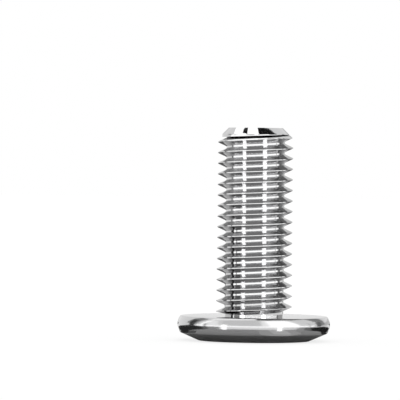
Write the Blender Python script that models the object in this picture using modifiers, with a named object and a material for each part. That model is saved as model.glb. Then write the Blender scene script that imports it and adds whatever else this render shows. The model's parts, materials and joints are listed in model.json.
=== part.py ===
"""Flat head socket screw: a furniture joint connector screw, turned and thread-rolled from one piece of steel.

The screw stands on the flat face of its head at Z = 0, with the threaded shank rising along +Z.
The hexagonal socket opens downwards, in the middle of that face.
"""
import math

import bmesh
import bpy

MM = 0.001

# Thread: a right-hand one with deep, narrow ridges
THREAD_DIAMETER = 8.0 * MM
ROOT_DIAMETER = 6.2 * MM
PITCH = 1.125 * MM
CREST_SHARE = 0.09  # flat top of a ridge, as a share of the pitch
ROOT_SHARE = 0.20  # flat bottom of a groove, as a share of the pitch
CREST_LEVEL = 0.75 * MM  # the first ridge at the front (-Y), above the bearing face

# Shank between the bearing face and the tip
SHANK_LENGTH = 20.0 * MM
NECK_STEP = 0.05 * MM  # by this the neck is thinner all round than the thread's root
NECK_HEIGHT = 0.20 * MM  # plain neck below the thread's run-out
RUN_OUT_HEIGHT = 0.22 * MM  # over which the lowest ridge grows from the neck to its full depth
TIP_FLAT_DIAMETER = 5.76 * MM
TIP_CONE_ANGLE = 45.0  # degrees between the tip's cone and the screw's axis
TIP_RIM_STEP = 0.48 * MM  # how far the plain tip stands out from the thread's root
TIP_RIM_DEPTH = 0.91 * MM  # length of the plain tip, which the grooves don't cut
TIP_RIM_LEAN = 2.8  # degrees, as the plain tip's lower rim climbs with the thread

# Head
HEAD_DIAMETER = 16.2 * MM
HEAD_THICKNESS = 2.6 * MM
FACE_DIAMETER = 11.8 * MM
BEVEL_HEIGHT = 0.82 * MM
SIDE_BULGE = 0.30 * MM  # how far the rounded side stands out from its upper and lower edges
RIM_CORNER = 0.10 * MM  # small round between the side and the bearing face
FILLET_HEIGHT = 0.18 * MM  # rise of the bearing face to the neck
FILLET_MARGIN = 0.10 * MM  # how far the fillet's foot lies outside the thread

# Socket for a hexagonal key
SOCKET_ACROSS_FLATS = 5.0 * MM
SOCKET_DEPTH = 2.4 * MM
SOCKET_POINT = 0.8 * MM  # height of the pointed floor above the flats
MOUTH_MARGIN = 0.36 * MM  # how far the mouth's chamfer reaches outside the hexagon's corners
MOUTH_ANGLE = 45.0  # degrees between the mouth's chamfer and the screw's axis

# Fineness of the round shapes
THREAD_STEPS = 48
HEAD_STEPS = 96
SIDE_POINTS = 7
CORNER_POINTS = 3
FILLET_POINTS = 4

# How far a cutter, or a blank that is joined or trimmed, reaches past the surface it meets
REACH = 1.0 * MM
# Narrow overlap that keeps the head's fillet inside the neck
OVERLAP = 0.1 * MM
WELD = 1e-7

STEEL_COLOUR = (0.62, 0.62, 0.63, 1.0)
STEEL_ROUGHNESS = 0.16


def clear_scene():
    for old in list(bpy.data.objects):
        bpy.data.objects.remove(old, do_unlink=True)


def new_collection(name):
    collection = bpy.data.collections.new(name)
    bpy.context.scene.collection.children.link(collection)
    return collection


def arc(centre, radius, start, end, points):
    """Points (r, z) on an arc, from the start angle to the end angle in degrees."""
    turned = []
    for i in range(points):
        angle = math.radians(start + (end - start) * i / (points - 1))
        turned.append((centre[0] + radius * math.cos(angle), centre[1] + radius * math.sin(angle)))
    return turned


def profile_object(name, profile, collection):
    """An open line of (r, z) points in the XZ plane."""
    mesh = bpy.data.meshes.new(name)
    mesh.from_pydata([(r, 0.0, z) for r, z in profile], [(i, i + 1) for i in range(len(profile) - 1)], [])
    outline = bpy.data.objects.new(name, mesh)
    collection.objects.link(outline)
    return outline


def add_screw(outline, steps, turns=1, rise=0.0):
    screw = outline.modifiers.new("Turn", "SCREW")
    screw.axis = "Z"
    screw.angle = 2 * math.pi
    screw.steps = steps
    screw.render_steps = steps
    screw.iterations = turns
    screw.screw_offset = rise
    screw.use_merge_vertices = rise == 0.0
    screw.merge_threshold = WELD
    return screw


def evaluated_mesh(source):
    depsgraph = bpy.context.evaluated_depsgraph_get()
    return bpy.data.meshes.new_from_object(source.evaluated_get(depsgraph), depsgraph=depsgraph)


def turned_cutter(name, profile, steps, collection):
    """A closed solid of revolution. Its profile runs down the outer side and meets the axis at both ends."""
    cutter = profile_object(name, profile, collection)
    add_screw(cutter, steps)
    cutter.hide_render = True
    cutter.display_type = "WIRE"
    return cutter


def thread_rod(collection):
    """The untrimmed thread: one ridge swept along the helix, past both ends of the shank."""
    root, crest = ROOT_DIAMETER / 2, THREAD_DIAMETER / 2
    crest_land, root_land = PITCH * CREST_SHARE, PITCH * ROOT_SHARE
    flank = (PITCH - crest_land - root_land) / 2
    # the ridge at +X lies a quarter of a turn after the one at the front, so a quarter of a pitch higher
    first_crest = HEAD_THICKNESS + CREST_LEVEL + PITCH / 4
    turns_below = math.ceil((first_crest - HEAD_THICKNESS + REACH) / PITCH)
    bottom = first_crest - (turns_below + 0.5) * PITCH
    turns = math.ceil((HEAD_THICKNESS + SHANK_LENGTH + REACH - bottom) / PITCH)
    heights = [0.0, root_land / 2, root_land / 2 + flank, root_land / 2 + flank + crest_land,
               PITCH - root_land / 2, PITCH]
    radii = [root, root, crest, crest, root, root]
    ridge = [(r, bottom + z) for r, z in zip(radii, heights)]
    ridge.reverse()
    swept = profile_object("thread_ridge", ridge, collection)
    add_screw(swept, THREAD_STEPS, turns, PITCH)
    mesh = evaluated_mesh(swept)
    bpy.data.objects.remove(swept, do_unlink=True)

    bm = bmesh.new()
    bm.from_mesh(mesh)
    bmesh.ops.remove_doubles(bm, verts=bm.verts, dist=WELD)
    close_end(bm, bottom + PITCH / 2, upper=False)
    close_end(bm, bottom + (turns + 0.5) * PITCH, upper=True)
    bmesh.ops.triangulate(bm, faces=bm.faces)
    bmesh.ops.recalc_face_normals(bm, faces=bm.faces)
    bm.to_mesh(mesh)
    bm.free()
    return mesh


def close_end(bm, height, upper):
    """Close one open end of the thread with a fan of triangles from a point on the axis."""
    middle = (min(v.co.z for v in bm.verts) + max(v.co.z for v in bm.verts)) / 2
    rim = [edge for edge in bm.edges
           if edge.is_boundary and (edge.verts[0].co.z > middle) == upper]
    hub = bm.verts.new((0.0, 0.0, height))
    for edge in rim:
        bm.faces.new((edge.verts[0], edge.verts[1], hub))


def shank_envelope(collection):
    """What trims the thread: the neck, the cone on which the ridge runs out, and the tip's cone."""
    neck, tip = ROOT_DIAMETER / 2 - NECK_STEP, TIP_FLAT_DIAMETER / 2
    outside = THREAD_DIAMETER / 2 + REACH
    top = HEAD_THICKNESS + SHANK_LENGTH
    run_out = HEAD_THICKNESS + NECK_HEIGHT
    run_out_slope = RUN_OUT_HEIGHT / (THREAD_DIAMETER / 2 - neck)
    profile = [
        (0.0, top),
        (tip, top),
        (outside, top - (outside - tip) / math.tan(math.radians(TIP_CONE_ANGLE))),
        (outside, run_out + (outside - neck) * run_out_slope),
        (neck, run_out),
        (neck, HEAD_THICKNESS - OVERLAP),
        (0.0, HEAD_THICKNESS - OVERLAP),
    ]
    envelope = turned_cutter("shank_envelope", profile, THREAD_STEPS, collection)
    envelope.rotation_euler.z = math.pi / THREAD_STEPS  # half a step, so that its edges cross the thread's
    return envelope


def plain_tip(collection):
    """The part of the tip that the grooves don't reach: a slug whose underside leans with the thread."""
    rim = ROOT_DIAMETER / 2 + TIP_RIM_STEP
    length = TIP_RIM_DEPTH + REACH
    slug = turned_cutter("plain_tip", [(0.0, length), (rim, length), (rim, 0.0), (0.0, 0.0)],
                         THREAD_STEPS, collection)
    slug.location.z = HEAD_THICKNESS + SHANK_LENGTH - TIP_RIM_DEPTH
    slug.rotation_euler.y = -math.radians(TIP_RIM_LEAN)
    return slug


def head_blank(collection):
    """The head: flat face, wide bevel, bulging side, flat bearing face and the fillet up to the neck."""
    neck_inside = ROOT_DIAMETER / 2 - NECK_STEP - OVERLAP
    fillet_foot = THREAD_DIAMETER / 2 + FILLET_MARGIN
    half_side = (HEAD_THICKNESS - BEVEL_HEIGHT) / 2
    side_radius = (half_side ** 2 + SIDE_BULGE ** 2) / (2 * SIDE_BULGE)
    side_centre = (HEAD_DIAMETER / 2 - side_radius, BEVEL_HEIGHT + half_side)
    bevel_angle = -math.degrees(math.asin(half_side / side_radius))
    # the corner's round touches the bearing face and the side, so its centre lies on a smaller circle
    inner_radius = side_radius - RIM_CORNER
    corner_angle = math.degrees(math.asin((half_side - RIM_CORNER) / inner_radius))
    corner_centre = (
        side_centre[0] + inner_radius * math.cos(math.radians(corner_angle)),
        HEAD_THICKNESS - RIM_CORNER,
    )
    profile = [(0.0, HEAD_THICKNESS + FILLET_HEIGHT)]
    for i in range(FILLET_POINTS + 1):
        angle = math.pi / 2 * (1 - i / FILLET_POINTS)
        profile.append((
            fillet_foot - (fillet_foot - neck_inside) * math.sin(angle),
            HEAD_THICKNESS + FILLET_HEIGHT * (1 - math.cos(angle)),
        ))
    profile += arc(corner_centre, RIM_CORNER, 90.0, corner_angle, CORNER_POINTS)
    profile += arc(side_centre, side_radius, corner_angle, bevel_angle, SIDE_POINTS)[1:]
    profile += [(FACE_DIAMETER / 2, 0.0), (0.0, 0.0)]
    return turned_cutter("head_blank", profile, HEAD_STEPS, collection)


def socket_hexagon(collection):
    """The broached hexagon with its pointed floor: a profile turned in six steps."""
    corner = SOCKET_ACROSS_FLATS / math.sqrt(3)
    profile = [
        (0.0, SOCKET_DEPTH + SOCKET_POINT),
        (corner, SOCKET_DEPTH),
        (corner, -REACH),
        (0.0, -REACH),
    ]
    return turned_cutter("socket_hexagon", profile, 6, collection)


def socket_mouth(collection):
    """The conical chamfer at the socket's mouth, which leaves the hexagon's flats with curved ends."""
    mouth = SOCKET_ACROSS_FLATS / math.sqrt(3) + MOUTH_MARGIN
    slope = math.tan(math.radians(MOUTH_ANGLE))
    profile = [
        (0.0, mouth / slope),
        (mouth + REACH * slope, -REACH),
        (0.0, -REACH),
    ]
    return turned_cutter("socket_mouth", profile, HEAD_STEPS, collection)


def add_boolean(part, operation, tool):
    boolean = part.modifiers.new(operation.title() + " " + tool.name, "BOOLEAN")
    boolean.operation = operation
    boolean.solver = "EXACT"
    boolean.object = tool


def bright_steel():
    material = bpy.data.materials.new("bright_steel")
    material.use_nodes = True
    shader = material.node_tree.nodes["Principled BSDF"]
    shader.inputs["Base Color"].default_value = STEEL_COLOUR
    shader.inputs["Metallic"].default_value = 1.0
    shader.inputs["Roughness"].default_value = STEEL_ROUGHNESS
    return material


def socket_screw(parts, cutters):
    """The thread trimmed to the shank's outline, joined to the head and bored for the key."""
    screw = bpy.data.objects.new("socket_screw", thread_rod(cutters))
    parts.objects.link(screw)
    add_boolean(screw, "UNION", plain_tip(cutters))
    add_boolean(screw, "INTERSECT", shank_envelope(cutters))
    add_boolean(screw, "UNION", head_blank(cutters))
    add_boolean(screw, "DIFFERENCE", socket_hexagon(cutters))
    add_boolean(screw, "DIFFERENCE", socket_mouth(cutters))
    finished = evaluated_mesh(screw)
    screw.modifiers.clear()
    screw.data = finished
    finished.shade_smooth()
    finished.set_sharp_from_angle(angle=math.radians(20))
    finished.materials.clear()
    finished.materials.append(bright_steel())
    return screw


clear_scene()
screw_parts = new_collection("flat_head_socket_screw")
screw_cutters = new_collection("cutters")
socket_screw(screw_parts, screw_cutters)
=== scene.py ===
import json
import math

import bmesh
import bpy
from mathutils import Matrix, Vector


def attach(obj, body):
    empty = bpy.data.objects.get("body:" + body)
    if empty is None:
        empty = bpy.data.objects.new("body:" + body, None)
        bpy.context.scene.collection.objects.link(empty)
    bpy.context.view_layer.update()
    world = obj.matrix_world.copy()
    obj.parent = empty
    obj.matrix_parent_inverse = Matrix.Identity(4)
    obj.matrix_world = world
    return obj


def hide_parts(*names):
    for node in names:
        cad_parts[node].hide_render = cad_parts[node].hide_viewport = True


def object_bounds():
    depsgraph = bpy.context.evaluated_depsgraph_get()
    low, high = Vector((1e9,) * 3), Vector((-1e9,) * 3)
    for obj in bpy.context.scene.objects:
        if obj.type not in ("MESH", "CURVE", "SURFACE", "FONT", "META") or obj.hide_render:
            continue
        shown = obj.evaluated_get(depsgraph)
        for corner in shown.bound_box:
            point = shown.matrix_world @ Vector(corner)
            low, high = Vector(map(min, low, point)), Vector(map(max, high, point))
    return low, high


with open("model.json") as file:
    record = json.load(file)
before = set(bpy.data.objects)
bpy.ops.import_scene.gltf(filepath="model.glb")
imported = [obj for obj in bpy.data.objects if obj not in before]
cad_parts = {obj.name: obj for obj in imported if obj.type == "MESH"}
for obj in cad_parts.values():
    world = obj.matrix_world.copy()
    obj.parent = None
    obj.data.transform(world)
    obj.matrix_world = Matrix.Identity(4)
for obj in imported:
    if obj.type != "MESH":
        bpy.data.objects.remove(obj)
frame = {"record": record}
cad_low, cad_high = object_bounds()

# The photograph's camera: a long lens in front of the screw, level with its upper thread.
# The screw stands right of and below the lens's axis, and the whole picture leans a little to the right.
MM = 0.001
PICTURE_PIXELS = 400
PIXELS_PER_MM = 9.41
PICTURE_WIDTH = PICTURE_PIXELS / PIXELS_PER_MM * MM
PICTURE_LEAN = math.radians(0.65)
SENSOR_WIDTH = 36.0
CAMERA_DISTANCE = 430 * MM
EYE_HEIGHT = 19.5 * MM
AIM_LEFT = 5.86 * MM
AIM_HEIGHT = 14.87 * MM
CLEAR_FROM = 10 * MM
CLEAR_TO = 5.0

camera_data = bpy.data.cameras.new("photo_camera")
camera_data.sensor_width = SENSOR_WIDTH
camera_data.lens = SENSOR_WIDTH * CAMERA_DISTANCE / PICTURE_WIDTH
camera_data.clip_start = CLEAR_FROM
camera_data.clip_end = CLEAR_TO
camera = bpy.data.objects.new("photo_camera", camera_data)
bpy.context.scene.collection.objects.link(camera)
camera.location = (0.0, -CAMERA_DISTANCE, EYE_HEIGHT)
looking = Vector((-AIM_LEFT, 0.0, AIM_HEIGHT)) - camera.location
camera.rotation_euler = looking.to_track_quat("-Z", "Y").to_euler()
camera.rotation_euler.rotate_axis("Z", PICTURE_LEAN)
bpy.context.scene.camera = camera

# White floor and background, at strength 1 for the camera and in the metal's reflections.
# A share of the floor is plain matt white, on which the screw's shadow falls.
FLOOR_SIZE = 3.0
FLOOR_DROP = 0.02 * MM  # keeps the floor clear of the face that stands on it
FLOOR_WHITE = 0.9
FLOOR_GLOW = 1.05
BACKGROUND_GLOW = 1.0
SHADOW_SHARE = 0.25
WHITE = (1.0, 1.0, 1.0, 1.0)


def new_material(name):
    material = bpy.data.materials.new(name)
    material.use_nodes = True
    material.node_tree.nodes.clear()
    return material, material.node_tree


def feed(tree, socket, value):
    """Gives a socket its value, which is a number or another node's result."""
    if isinstance(value, bpy.types.NodeSocket):
        tree.links.new(value, socket)
    else:
        socket.default_value = value


def math_node(tree, operation, *terms):
    """Adds one step of arithmetic to a tree and gives its result."""
    node = tree.nodes.new("ShaderNodeMath")
    node.operation = operation
    for socket, term in zip(node.inputs, terms):
        feed(tree, socket, term)
    return node.outputs[0]


def glow(tree, brightness):
    emission = tree.nodes.new("ShaderNodeEmission")
    emission.inputs["Color"].default_value = WHITE
    emission.inputs["Strength"].default_value = brightness
    return emission.outputs[0]


def matt(tree, grey):
    diffuse = tree.nodes.new("ShaderNodeBsdfDiffuse")
    diffuse.inputs["Color"].default_value = (grey, grey, grey, 1.0)
    return diffuse.outputs[0]


def mixed(tree, share, first, second):
    mix = tree.nodes.new("ShaderNodeMixShader")
    feed(tree, mix.inputs["Fac"], share)
    tree.links.new(first, mix.inputs[1])
    tree.links.new(second, mix.inputs[2])
    return mix.outputs[0]


def seen_directly(tree):
    """1 for rays from the camera and for those that metal or glass sends on."""
    rays = tree.nodes.new("ShaderNodeLightPath").outputs
    sent_on = math_node(tree, "MAXIMUM", rays["Is Glossy Ray"], rays["Is Transmission Ray"])
    return math_node(tree, "MAXIMUM", rays["Is Camera Ray"], sent_on)


def set_surface(tree, surface):
    output = tree.nodes.new("ShaderNodeOutputMaterial")
    tree.links.new(surface, output.inputs["Surface"])


floor_material, tree = new_material("white_floor")
matt_white = matt(tree, FLOOR_WHITE)
lit = mixed(tree, SHADOW_SHARE, glow(tree, FLOOR_GLOW), matt_white)
set_surface(tree, mixed(tree, seen_directly(tree), matt_white, lit))

bpy.ops.mesh.primitive_plane_add(size=FLOOR_SIZE, location=(0.0, 0.0, -FLOOR_DROP))
floor = bpy.context.object
floor.name = "white_floor"
floor.data.materials.append(floor_material)

world = bpy.data.worlds.new("white_world")
world.use_nodes = True
background = world.node_tree.nodes["Background"]
background.inputs["Color"].default_value = WHITE
background.inputs["Strength"].default_value = BACKGROUND_GLOW
bpy.context.scene.world = world
bpy.context.scene.view_settings.view_transform = "Standard"

# Softboxes and dark cards round the screw. Polished steel shows little but these, so their places are
# its shading. They show in the metal alone, some only in its single reflections and some only in the
# thread's grooves. Directions are in degrees: a turn from the camera towards +X, and a rise.
FAR = 300 * MM
IN_FRONT = 8 * MM  # how much nearer a card stands that hides others
MIDDLE = 12 * MM  # the height that the standing cards are aimed at
FOOT = -3  # rise of a standing card's lower edge, which is hidden in the floor
SHEET_STEPS = 16
BOUNCE_LIMIT = 1.5
ONCE = "LESS_THAN"  # seen in single reflections, where the count of bounces is under the limit
GROOVES = "GREATER_THAN"  # seen in the grooves, which look out after two bounces or more


def glowing(name, brightness, seen):
    """A material with an even glow, which seen keeps to single reflections or to the grooves."""
    material, tree = new_material(name)
    surface = glow(tree, brightness)
    if seen:
        bounces = tree.nodes.new("ShaderNodeLightPath").outputs["Ray Depth"]
        clear = tree.nodes.new("ShaderNodeBsdfTransparent").outputs[0]
        surface = mixed(tree, math_node(tree, seen, bounces, BOUNCE_LIMIT), clear, surface)
    set_surface(tree, surface)
    return material


def put_up(name, points, faces, material):
    """Adds a studio piece, which the camera and matt surfaces don't see, and which casts no shadow."""
    mesh = bpy.data.meshes.new(name)
    mesh.from_pydata(points, [], faces)
    mesh.materials.append(material)
    piece = bpy.data.objects.new(name, mesh)
    bpy.context.scene.collection.objects.link(piece)
    piece.visible_camera = False
    piece.visible_diffuse = False
    piece.visible_shadow = False


def curved_sheet(name, material, point_at):
    """A studio piece whose points are given by a rule, for shares across and up it."""
    shares = [step / SHEET_STEPS for step in range(SHEET_STEPS + 1)]
    points = [point_at(across, up) for up in shares for across in shares]
    wide = len(shares)
    corners = [row * wide + column for row in range(SHEET_STEPS) for column in range(SHEET_STEPS)]
    put_up(name, points, [(c, c + 1, c + wide + 1, c + wide) for c in corners], material)


def towards(turn, rise=0.0):
    turn, rise = math.radians(turn), math.radians(rise)
    return Vector((math.sin(turn) * math.cos(rise), -math.cos(turn) * math.cos(rise), math.sin(rise)))


def card(name, brightness, lower_left, lower_right, upper_right, upper_left, seen=ONCE, nearer=0.0):
    """A standing card, whose corners are directions from the screw. Nearer cards hide the others."""
    lower = Vector(lower_left), Vector(lower_right)
    upper = Vector(upper_left), Vector(upper_right)

    def point_at(across, up):
        turn, rise = lower[0].lerp(lower[1], across).lerp(upper[0].lerp(upper[1], across), up)
        return Vector((0.0, 0.0, MIDDLE)) + towards(turn, rise) * (FAR - nearer)
    curved_sheet(name, glowing(name, brightness, seen), point_at)


# What single reflections show in front: a pale sheet, a narrow softbox on the left, a wide one on the right
card("front_low_sheet", 1.1, (-41, FOOT), (24, FOOT), (20, 9), (-41, 9))
card("front_sheet", 0.87, (-48, 9), (20, 9), (12, 58), (-60, 58), nearer=-2 * MM)
card("left_softbox", 2.4, (-50, FOOT), (-41, FOOT), (-42, 13), (-49, 13), nearer=IN_FRONT)
card("left_sheet", 1.3, (-72, FOOT), (-50, FOOT), (-64, 38), (-79, 38), nearer=4 * MM)
card("left_streak", 1.9, (-91, FOOT), (-85, FOOT), (-74, 34), (-80, 34), nearer=IN_FRONT)
card("right_low_sheet", 1.4, (24, FOOT), (76, FOOT), (76, 4), (24, 4))
card("right_softbox", 2.4, (35, FOOT), (44, FOOT), (44, 4), (35, 4), nearer=IN_FRONT)
card("right_panel_edge", 1.3, (12, 3), (24, 3), (20, 51), (12, 51), nearer=IN_FRONT)
card("right_panel", 1.8, (24, 3), (76, 3), (62, 45), (20, 51), nearer=IN_FRONT)

# At the sides and behind
card("left_dark_panel", 0.30, (-122, 6), (-97, 6), (-89, 42), (-112, 42))
card("right_dark_panel", 0.30, (109, 20), (136, 9), (134, 36), (102, 54))
card("right_back_sheet", 0.65, (121, FOOT), (165, FOOT), (165, 6), (121, 6))
card("back_sheet", 0.82, (165, FOOT), (195, FOOT), (195, 9), (165, 9), None)
card("back_left_sheet", 0.75, (180, 9), (200, 9), (200, 34), (180, 34), None)
card("back_right_sheet", 0.66, (160, 9), (180, 9), (180, 34), (160, 34), None)

# Close by: dark and grey posts, which draw the upright lines at the sides of the thread
NEAR = 100 * MM
THREAD_END = 21.6 * MM
POST_TOP = 34 * MM
LOW_TOP = 12 * MM
LOW_SIDE = 22 * MM


def between(first, last, share):
    return first + (last - first) * share


def post(name, brightness, left, right, bottom, top, distance, seen=None):
    """An upright card between two turns and two heights."""
    def point_at(across, up):
        height = Vector((0.0, 0.0, between(bottom, top, up)))
        return towards(between(left, right, across)) * distance + height
    curved_sheet(name, glowing(name, brightness, seen), point_at)


post("left_post", 0.12, -106.5, -100, 0.0, THREAD_END, NEAR, ONCE)
post("low_left_post", 0.05, -97, -85, 0.0, LOW_TOP, LOW_SIDE)
post("low_front_post", 0.25, -75, -71.5, 0.0, LOW_TOP, 2 * LOW_SIDE)
post("right_grey_post", 0.75, 86.5, 90.5, 1 * MM, THREAD_END, 55 * MM, ONCE)
post("right_post", 0.15, 107.5, 120, 0.0, POST_TOP, NEAR, ONCE)
post("right_upper_post", 0.30, 120, 133, 8 * MM, POST_TOP, NEAR, ONCE)

# On the floor: two matt grey discs round the head, which the screw shades. The smaller one, under the head
# and just round it, is a darker grey as painted shade under the head. What lies on the floor is in layers
# between it and the screw's face, and the higher a layer's number, the deeper it lies.
BESIDE_HEAD = 8.3 * MM
SHADED = 12.7 * MM
LAYER = 0.001 * MM


def matt_disc(name, grey, radius, layer):
    material, tree = new_material(name)
    set_surface(tree, matt(tree, grey))
    depth = Vector((0.0, 0.0, -layer * LAYER))
    curved_sheet(name, material, lambda across, up: towards(360 * across) * radius * up + depth)


matt_disc("grey_disc", 0.41, SHADED, 18)
# painted shade: this darker disc under and just round the head stands in for the head's shadow on the floor
matt_disc("painted_shade_disc", 0.34, BESIDE_HEAD, 17)

# Round the discs, for single reflections: pale, grey and black sheets, which the head's side and the
# undersides of the thread's ridges show
LEFT_EDGE = 9.5 * MM
RIGHT_EDGE = 9.6 * MM


def floor_card(name, brightness, left, right, inner, outer, layer, seen=ONCE):
    """A card that lies on the floor, between two turns and two distances from the screw's axis."""
    def point_at(across, up):
        depth = Vector((0.0, 0.0, -layer * LAYER))
        return towards(between(left, right, across)) * between(inner, outer, up) + depth
    curved_sheet(name, glowing(name, brightness, seen), point_at)


def level_sheet(name, brightness, height, outline, seen=None):
    """A level sheet, whose outline is in millimetres from the screw's axis."""
    points = [(x * MM, y * MM, height) for x, y in outline]
    put_up(name, points, [range(len(outline))], glowing(name, brightness, seen))


def floor_sheet(name, brightness, layer, outline):
    level_sheet(name, brightness, -layer * LAYER, outline, ONCE)


floor_card("left_near_black", 0.03, -112, -74, BESIDE_HEAD, LEFT_EDGE, 13)
floor_card("left_near_dark", 0.12, -74, -60, BESIDE_HEAD, LEFT_EDGE, 13)
floor_card("right_near_black", 0.03, 80, 112, BESIDE_HEAD, RIGHT_EDGE, 13)
floor_card("front_floor", 1.1, -31, 40, SHADED, FAR, 16)
floor_card("right_floor", 1.0, 40, 60, SHADED, FAR, 16)
floor_sheet("wide_tile", 0.45, 14, [(0.8, -8.4), (0.8, -12.6), (5.0, -11.6), (8.2, -9.4), (6.2, -6.0)])
floor_sheet("narrow_tile", 0.60, 12, [(2.6, -8.2), (2.8, -12.4), (5.0, -11.6), (6.2, -10.4), (4.8, -7.0)])
floor_sheet("left_grey_floor", 0.38, 14,
            [(-8.0, -8.0), (-8.2, -10.3), (-11.0, -12.9), (-60.0, -49.0), (-60.0, -10.0), (-12.0, -7.5)])
floor_sheet("left_dark_floor", 0.16, 12,
            [(-8.8, -6.0), (-9.0, -7.7), (-12.0, -8.7), (-34.0, -13.0), (-34.0, -6.0), (-12.0, -5.5)])
floor_sheet("left_black_floor", 0.03, 10,
            [(-9.2, 1.0), (-9.3, -6.2), (-13.0, -6.9), (-34.0, -7.4), (-34.0, 18.0), (-12.0, 14.0)])
floor_sheet("right_grey_floor", 0.42, 14,
            [(8.3, -8.0), (12.0, -9.8), (34.0, -14.5), (60.0, -22.0), (60.0, -6.0), (9.2, -5.6)])
floor_sheet("right_dark_floor", 0.20, 12,
            [(9.0, -6.3), (12.0, -6.9), (34.0, -8.0), (34.0, -1.0), (9.4, -3.4)])
floor_sheet("right_black_floor", 0.015, 10,
            [(9.5, -4.6), (12.0, -4.3), (34.0, -2.5), (34.0, 20.0), (12.0, 14.0), (9.4, 2.0)])
floor_sheet("left_floor_strip", 2.3, 8, [(-6.2, -9.7), (-5.5, -10.4), (-200.0, -230.0), (-230.0, -200.0)])
floor_sheet("right_floor_strip", 2.4, 8, [(4.0, -9.7), (4.7, -9.2), (209.0, -229.0), (185.0, -249.0)])
post("left_black_edge", 0.03, -112, -78, 0.0, 1.3 * MM, 34 * MM, ONCE)

# Behind: a dark floor, seen in all reflections
floor_card("back_floor", 0.12, 155, 205, SHADED, FAR, 12, None)

# What the grooves show: two softboxes, greyer sheets between and beside them, and the same on the floor.
# The softboxes, whose names end in bar, stand nearer, and their floor cards start farther out.
SHEET_TOP = 40  # rises, in degrees
BAR_TOP = 17
BAR_NEARER = 20 * MM
BAR_FLOOR = 44 * MM
GROOVE_FLOOR = 9.6 * MM
for name, left, right, above, below in (
        ("left_rear", -156, -100, 0.80, 0.45),
        ("far_left", -100, -52.5, 1.15, 0.50),
        ("left_bar", -52.5, -38, 5.0, 5.0),
        ("middle", -38, 30.5, 0.74, 0.66),
        ("right_bar", 30.5, 47.5, 5.0, 5.0),
        ("right", 47.5, 68, 1.1, 1.0),
        ("right_side", 68, 82, 0.72, 0.60),
        ("far_right", 82, 96, 0.38, 0.34),
        ("right_dark", 96, 110, 0.24, 0.26),
        ("right_rear", 110, 156, 0.52, 0.26)):
    if name.endswith("bar"):
        top, nearer, inner, layer = BAR_TOP, BAR_NEARER, BAR_FLOOR, 1.5
    else:
        top, nearer, inner, layer = SHEET_TOP, 0.0, GROOVE_FLOOR, 6
    card("groove_" + name, above, (left, FOOT), (right, FOOT), (right, top), (left, top), GROOVES, nearer)
    floor_card("groove_floor_" + name, below, left, right, inner, FAR, layer, GROOVES)
floor_card("groove_floor_under_bars", 0.5, -53, 48.5, GROOVE_FLOOR, FAR, 7, GROOVES)
floor_card("groove_floor_right_low", 0.14, 100, 156, GROOVE_FLOOR, 36 * MM, 3, GROOVES)
post("groove_low_left", 0.35, -80, -55, 0.0, 13 * MM, LOW_SIDE, GROOVES)

# A low strip light, far off round the front, which faces that look out level show: it draws the white
# bands in the thread's grooves
STRIP = 285 * MM
STRIP_FLOOR = 115 * MM
STRIP_TURNS = (-95, 103)
for name, brightness, top, layer, seen in (
        ("groove_strip", 2.0, 36 * MM, 2, GROOVES),
        ("level_strip", 1.8, 32 * MM, 1, ONCE)):
    post(name, brightness, *STRIP_TURNS, 0.0, top, STRIP, seen)
    floor_card(name + "_floor", brightness, *STRIP_TURNS, STRIP_FLOOR, STRIP, layer, seen)

# Over the tip: a white sheet and two black ones under it, whose slanted edges show in the tip's cone
WHITE_LEVEL = cad_high.z + 12 * MM
BLACK_LEVEL = WHITE_LEVEL - 0.2 * MM
level_sheet("overhead_white", 1.9, WHITE_LEVEL,
            [(-15.0, -3.0), (0.5, -14.0), (3.0, -5.0), (3.0, 6.0), (-9.5, 12.0), (-10.8, 6.5),
             (-10.6, 4.0)])
level_sheet("overhead_black", 0.01, BLACK_LEVEL,
            [(0.7, -2.6), (1.6, -3.6), (0.8, -16.0), (22.0, -16.0), (22.0, 12.0), (9.9, 3.0), (7.0, 0.4),
             (5.0, -1.2)])
level_sheet("overhead_narrow_black", 0.02, BLACK_LEVEL,
            [(-6.4, -0.2), (-6.4, -1.4), (-4.1, -2.9), (-4.2, -1.4)])

# Over the head alone: what the round edge of its bearing face shows, white on the left, dark on the right
AWNING = 21.5 * MM
level_sheet("awning_white", 1.35, AWNING,
            [(0.6, -10.0), (0.6, -19.5), (-8.0, -19.0), (-16.0, -16.5), (-27.0, -11.0), (-22.0, -6.0),
             (-10.0, -9.0)], ONCE)
level_sheet("awning_dark", 0.08, AWNING,
            [(1.5, -10.0), (1.5, -19.5), (8.0, -19.0), (13.0, -15.5), (20.0, -11.0), (25.0, -2.0),
             (20.0, 1.0), (9.0, -2.0)], ONCE)

# The shank is bright steel, in one piece with the head. Its thread is rolled: the ridge fades in over the
# neck, winds up right-handed, and ends at a plain cone with a flat end. Here it is one surface wound round
# the axis, whose rows climb with the thread, so that each ridge is true all the way up.
mount_places = {mount["name"]: mount["pos_m"] for mount in frame["record"]["mounts"]}
BEARING = mount_places["bearing_face"][2]  # height of the bearing face under the head
TOP = cad_high.z
THREAD_RADIUS = 4.0 * MM
ROOT_RADIUS = 3.1 * MM
PITCH = 1.125 * MM
CREST_LAND = 0.10 * MM  # widths of the level parts, before their edges are rounded
ROOT_LAND = 0.225 * MM
CREST_ROUNDING = 0.05 * MM
ROOT_ROUNDING = 0.06 * MM
CREST_LEVEL = 0.75 * MM  # height of the first crest at the front over the bearing face
NECK_RADIUS = ROOT_RADIUS
NECK_HEIGHT = 0.20 * MM
RUN_OUT_HEIGHT = 0.22 * MM
FADE_LEVEL = 0.12 * MM  # the crest's height over the bearing face where the ridge starts
FADE_HEIGHT = 0.28 * MM
TIP_RADIUS = 2.88 * MM  # the flat end
RIM_RADIUS = 3.58 * MM  # the plain cone's lower rim, which leans as the thread climbs
RIM_DEPTH = 0.85 * MM
RIM_CLIMB = 0.15 * MM
STEPS = 192  # points round the screw
ROWS_A_TURN = 16
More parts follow.
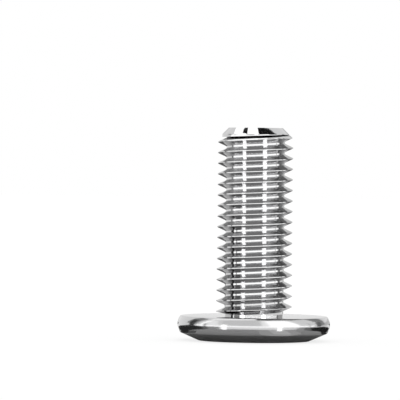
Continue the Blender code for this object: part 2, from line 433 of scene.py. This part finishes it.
TIP_ROWS = 16
CROWDING = 0.6  # how much closer the rows lie at crests and roots
MERGED = 0.0001 * MM


def shank_tree():
    """Winds a flat grid into the shank: its neck, its thread and its tip."""
    tree = bpy.data.node_groups.new("wound_shank", "GeometryNodeTree")
    for kind, names in (
            ("NodeSocketInt", ("Steps", "Thread Rows", "Tip Rows")),
            ("NodeSocketFloat", (
                "Turns", "Pitch", "Start", "Thread Radius", "Root Radius", "Crest Land", "Root Land",
                "Crest Rounding", "Root Rounding", "Crowding", "Bottom", "Neck Radius", "Run-out Slope",
                "Fade Start", "Fade Height", "Top", "Tip Radius", "Rim Radius", "Rim Level", "Rim Climb")),
            ("NodeSocketMaterial", ("Material",))):
        for name in names:
            tree.interface.new_socket(name, in_out="INPUT", socket_type=kind)
    tree.interface.new_socket("Geometry", in_out="OUTPUT", socket_type="NodeSocketGeometry")
    given = tree.nodes.new("NodeGroupInput").outputs

    def step(operation, *terms):
        return math_node(tree, operation, *terms)

    # a flat grid, one unit wide and high, which the steps below wind up
    grid = tree.nodes.new("GeometryNodeMeshGrid")
    grid.inputs["Size X"].default_value = 1.0
    grid.inputs["Size Y"].default_value = 1.0
    rows = step("ADD", given["Thread Rows"], given["Tip Rows"])
    tree.links.new(step("ADD", given["Steps"], 1), grid.inputs["Vertices X"])
    tree.links.new(step("ADD", rows, 1), grid.inputs["Vertices Y"])

    # where each point of the flat grid goes: round the axis, and up in rows
    place = tree.nodes.new("ShaderNodeSeparateXYZ")
    tree.links.new(tree.nodes.new("GeometryNodeInputPosition").outputs[0], place.inputs[0])
    around = step("ADD", place.outputs["X"], 0.5)
    row = step("MULTIPLY", step("ADD", place.outputs["Y"], 0.5), rows)
    angle = step("MULTIPLY", around, 2 * math.pi)
    in_tip = step("GREATER_THAN", row, step("ADD", given["Thread Rows"], 0.5))

    # thread rows climb one pitch a turn, closer together at crests and roots than on the flanks
    turn = step("DIVIDE", step("MULTIPLY", row, given["Turns"]), given["Thread Rows"])
    wave = step("SINE", step("MULTIPLY", turn, 4 * math.pi))
    shift = step("MULTIPLY", wave, step("DIVIDE", given["Crowding"], 4 * math.pi))
    crowded = step("SUBTRACT", turn, shift)
    climbing = step("MULTIPLY_ADD", step("ADD", crowded, around), given["Pitch"], given["Start"])
    rim = step("MULTIPLY_ADD", step("COSINE", angle), given["Rim Climb"], given["Rim Level"])
    thread_height = step("MINIMUM", step("MAXIMUM", climbing, given["Bottom"]), rim)

    # tip rows rise level from the rim to the flat end, and the last one closes it at the axis
    tip_row = step("SUBTRACT", step("SUBTRACT", row, given["Thread Rows"]), 1)
    tip_share = step("MINIMUM", step("DIVIDE", tip_row, step("SUBTRACT", given["Tip Rows"], 2)), 1)
    tip_height = step("MULTIPLY_ADD", step("SUBTRACT", given["Top"], rim), tip_share, rim)
    height = step("MULTIPLY_ADD", step("SUBTRACT", tip_height, thread_height), in_tip, thread_height)

    # how far each point lies from the middle of a crest, and the rounded profile of the ridge there
    wound = step("DIVIDE", step("SUBTRACT", height, given["Start"]), given["Pitch"])
    wound = step("SUBTRACT", wound, around)
    nearest = step("ROUND", wound)
    off_crest = step("MULTIPLY", step("ABSOLUTE", step("SUBTRACT", wound, nearest)), given["Pitch"])
    depth = step("SUBTRACT", given["Thread Radius"], given["Root Radius"])
    lands = step("ADD", given["Crest Land"], given["Root Land"])
    flank = step("DIVIDE", step("SUBTRACT", given["Pitch"], lands), 2)
    beyond_land = step("SUBTRACT", off_crest, step("DIVIDE", given["Crest Land"], 2))
    fall = step("DIVIDE", beyond_land, flank)
    slope = step("SUBTRACT", given["Thread Radius"], step("MULTIPLY", fall, depth))
    crest = step("SMOOTH_MIN", slope, given["Thread Radius"], given["Crest Rounding"])
    ridge = step("SMOOTH_MAX", crest, given["Root Radius"], given["Root Rounding"])

    # the ridge fades in over the neck, and is trimmed there by the run-out
    crest_height = step("MULTIPLY_ADD", step("ADD", nearest, around), given["Pitch"], given["Start"])
    grown = step("DIVIDE", step("SUBTRACT", crest_height, given["Fade Start"]), given["Fade Height"])
    grown = step("MINIMUM", step("MAXIMUM", grown, 0), 1)
    over_root = step("SUBTRACT", ridge, given["Root Radius"])
    ridge = step("MULTIPLY_ADD", over_root, grown, given["Root Radius"])
    run_out = step("MULTIPLY", step("SUBTRACT", height, given["Bottom"]), given["Run-out Slope"])
    ridge = step("MINIMUM", ridge, step("ADD", given["Neck Radius"], run_out))

    # in the tip it joins the plain rim, under the cone
    plain_rim = step("MULTIPLY", given["Rim Radius"], in_tip)
    cone = step("ADD", given["Tip Radius"], step("SUBTRACT", given["Top"], height))
    radius = step("MINIMUM", step("MAXIMUM", ridge, plain_rim), cone)
    before_last = step("LESS_THAN", row, step("SUBTRACT", rows, 0.5))
    radius = step("MULTIPLY", radius, before_last)

    combine = tree.nodes.new("ShaderNodeCombineXYZ")
    tree.links.new(step("MULTIPLY", radius, step("COSINE", angle)), combine.inputs["X"])
    tree.links.new(step("MULTIPLY", radius, step("SINE", angle)), combine.inputs["Y"])
    tree.links.new(height, combine.inputs["Z"])
    move = tree.nodes.new("GeometryNodeSetPosition")
    tree.links.new(grid.outputs["Mesh"], move.inputs["Geometry"])
    tree.links.new(combine.outputs[0], move.inputs["Position"])
    merge = tree.nodes.new("GeometryNodeMergeByDistance")
    merge.inputs["Distance"].default_value = MERGED
    tree.links.new(move.outputs[0], merge.inputs["Geometry"])
    realize = tree.nodes.new("GeometryNodeRealizeInstances")
    tree.links.new(merge.outputs[0], realize.inputs["Geometry"])
    finish = tree.nodes.new("GeometryNodeSetMaterial")
    tree.links.new(realize.outputs[0], finish.inputs["Geometry"])
    tree.links.new(given["Material"], finish.inputs["Material"])
    tree.links.new(finish.outputs[0], tree.nodes.new("NodeGroupOutput").inputs[0])
    return tree


THREAD_ROUGHNESS = 0.04
HEAD_ROUGHNESS = 0.13
DULL_DEPTH = 0.10 * MM  # under the bearing face: from here down, the finish is the head's
BRIGHT_DEPTH = 0.02 * MM  # and from here up, the thread's
PATCHES_A_METRE = 400.0
PATCH_ROUGHNESS = 0.03
DARKER_STEEL = (0.57, 0.57, 0.572)
LIGHTER_STEEL = (0.59, 0.59, 0.595)


def polished_steel():
    """Bright steel, a little duller on the head than on the rolled thread, and faintly uneven all over."""
    material, tree = new_material("polished_steel")
    shader = tree.nodes.new("ShaderNodeBsdfPrincipled")
    shader.inputs["Metallic"].default_value = 1.0
    place = tree.nodes.new("ShaderNodeTexCoord").outputs["Object"]
    height = tree.nodes.new("ShaderNodeSeparateXYZ")
    tree.links.new(place, height.inputs[0])
    dull = tree.nodes.new("ShaderNodeMapRange")
    dull.inputs["From Min"].default_value = BEARING - DULL_DEPTH
    dull.inputs["From Max"].default_value = BEARING - BRIGHT_DEPTH
    dull.inputs["To Min"].default_value = HEAD_ROUGHNESS
    dull.inputs["To Max"].default_value = THREAD_ROUGHNESS
    tree.links.new(height.outputs["Z"], dull.inputs["Value"])

    patches = tree.nodes.new("ShaderNodeTexNoise")
    patches.inputs["Scale"].default_value = PATCHES_A_METRE
    tree.links.new(place, patches.inputs["Vector"])
    roughness = math_node(tree, "MULTIPLY_ADD", patches.outputs[0], PATCH_ROUGHNESS, dull.outputs[0])
    tree.links.new(roughness, shader.inputs["Roughness"])
    tone = tree.nodes.new("ShaderNodeMapRange")
    tone.data_type = "FLOAT_VECTOR"
    inputs = {socket.identifier: socket for socket in tone.inputs}
    inputs["To_Min_FLOAT3"].default_value = DARKER_STEEL
    inputs["To_Max_FLOAT3"].default_value = LIGHTER_STEEL
    tree.links.new(patches.outputs[0], inputs["Vector"])
    tree.links.new(tone.outputs["Vector"], shader.inputs["Base Color"])
    set_surface(tree, shader.outputs[0])
    return material


# the winding starts below the neck, a whole number of turns under the first crest at the front
TURNS_BELOW = 3
start = BEARING + CREST_LEVEL + PITCH / 4 - TURNS_BELOW * PITCH
turns = math.ceil((TOP - start) / PITCH)
polished = polished_steel()
settings = {
    "Steps": STEPS, "Thread Rows": turns * ROWS_A_TURN, "Tip Rows": TIP_ROWS, "Crowding": CROWDING,
    "Turns": float(turns), "Pitch": PITCH, "Start": start,
    "Thread Radius": THREAD_RADIUS, "Root Radius": ROOT_RADIUS,
    "Crest Land": CREST_LAND, "Root Land": ROOT_LAND,
    "Crest Rounding": CREST_ROUNDING, "Root Rounding": ROOT_ROUNDING,
    "Bottom": BEARING + NECK_HEIGHT, "Neck Radius": NECK_RADIUS,
    "Run-out Slope": (THREAD_RADIUS - NECK_RADIUS) / RUN_OUT_HEIGHT,
    "Fade Start": BEARING + FADE_LEVEL, "Fade Height": FADE_HEIGHT,
    "Top": TOP, "Tip Radius": TIP_RADIUS,
    "Rim Radius": RIM_RADIUS, "Rim Level": TOP - RIM_DEPTH, "Rim Climb": RIM_CLIMB,
    "Material": polished,
}
shank = bpy.data.objects.new("shank", bpy.data.meshes.new("shank"))
bpy.context.scene.collection.objects.link(shank)
winding = shank.modifiers.new("Wind the shank", "NODES")
winding.node_group = shank_tree()
for socket in winding.node_group.interface.items_tree:
    if socket.in_out == "INPUT":
        winding[socket.identifier] = settings[socket.name]
graph = bpy.context.evaluated_depsgraph_get()
shank_mesh = bpy.data.meshes.new_from_object(shank.evaluated_get(graph), depsgraph=graph)
bpy.data.objects.remove(shank, do_unlink=True)

# The head is pressed cold from the same steel: a flat bearing face, a side that bulges a little, a wide
# bevel, and the flat face that the screw stands on. The hexagonal socket is pressed into that face, with a
# chamfered mouth and a pointed floor.
HEAD_RADIUS = cad_high.x
FACE_RADIUS = 5.9 * MM
BEVEL_HEIGHT = 0.82 * MM
SIDE_BULGE = 0.30 * MM
SIDE_POINTS = 25
RIM_CORNER = 0.10 * MM
CORNER_POINTS = 7
SOCKET_FLAT = 2.5 * MM
SOCKET_DEPTH = 2.4 * MM
SOCKET_POINT = 0.8 * MM
MOUTH_CHAMFER = 0.36 * MM
MOUTH_RADIUS = SOCKET_FLAT * 2 / math.sqrt(3) + MOUTH_CHAMFER


def arc(centre, radius, first, last, points):
    """Points along an arc, which runs from one direction to another, in degrees."""
    along = [math.radians(between(first, last, step / (points - 1))) for step in range(points)]
    return [(centre[0] + radius * math.cos(way), centre[1] + radius * math.sin(way)) for way in along]


def outside():
    """Radius and height along the head, from the neck over the rounded rim to the flat face."""
    half = (BEARING - BEVEL_HEIGHT) / 2
    radius = (half ** 2 + SIDE_BULGE ** 2) / (2 * SIDE_BULGE)
    centre = (HEAD_RADIUS - radius, BEVEL_HEIGHT + half)
    inner = radius - RIM_CORNER
    corner = math.degrees(math.asin((half - RIM_CORNER) / inner))
    corner_centre = (centre[0] + inner * math.cos(math.radians(corner)), BEARING - RIM_CORNER)
    outline = [(NECK_RADIUS, BEARING + NECK_HEIGHT), (NECK_RADIUS, BEARING)]
    outline += arc(corner_centre, RIM_CORNER, 90.0, corner, CORNER_POINTS)
    outline += arc(centre, radius, corner, -math.degrees(math.asin(half / radius)), SIDE_POINTS)[1:]
    outline += [(FACE_RADIUS, 0.0)]
    return outline


def inside(angle):
    """Radius and height down the socket at an angle round its axis."""
    flat = SOCKET_FLAT / math.cos((angle + math.pi / 6) % (math.pi / 3) - math.pi / 6)
    return [(MOUTH_RADIUS, 0.0), (flat, MOUTH_RADIUS - flat), (flat, SOCKET_DEPTH)]


screw = bmesh.new()
screw.from_mesh(shank_mesh)
angles = [2 * math.pi * step / STEPS for step in range(STEPS)]
outlines = [outside() + inside(angle) for angle in angles]
# each point of the outline gives one ring, which is joined to the ring before it
previous = None
for level in zip(*outlines):
    ring = [screw.verts.new((radius * math.cos(angle), radius * math.sin(angle), height))
            for angle, (radius, height) in zip(angles, level)]
    if previous:
        for i in range(STEPS):
            j = (i + 1) % STEPS
            screw.faces.new((previous[i], ring[i], ring[j], previous[j]))
    previous = ring
socket_bottom = screw.verts.new((0.0, 0.0, SOCKET_DEPTH + SOCKET_POINT))
for i in range(STEPS):
    screw.faces.new((previous[i], socket_bottom, previous[(i + 1) % STEPS]))

# The finished screw: shank and head are one piece of steel, so they are made one closed body. Its edges are
# sharp where two faces meet at an angle, and it is smooth everywhere else.
WELD = 0.0005 * MM
SHARP = math.radians(22)  # edges that turn by more than this are sharp
bmesh.ops.remove_doubles(screw, verts=screw.verts, dist=WELD)
bmesh.ops.recalc_face_normals(screw, faces=screw.faces)
steel = bpy.data.meshes.new("steel_screw")
screw.to_mesh(steel)
screw.free()
steel.shade_smooth()
steel.set_sharp_from_angle(angle=SHARP)
steel.materials.append(polished)
screw_object = bpy.data.objects.new("steel_screw", steel)
bpy.context.scene.collection.objects.link(screw_object)
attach(screw_object, "root")
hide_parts("socket_screw")
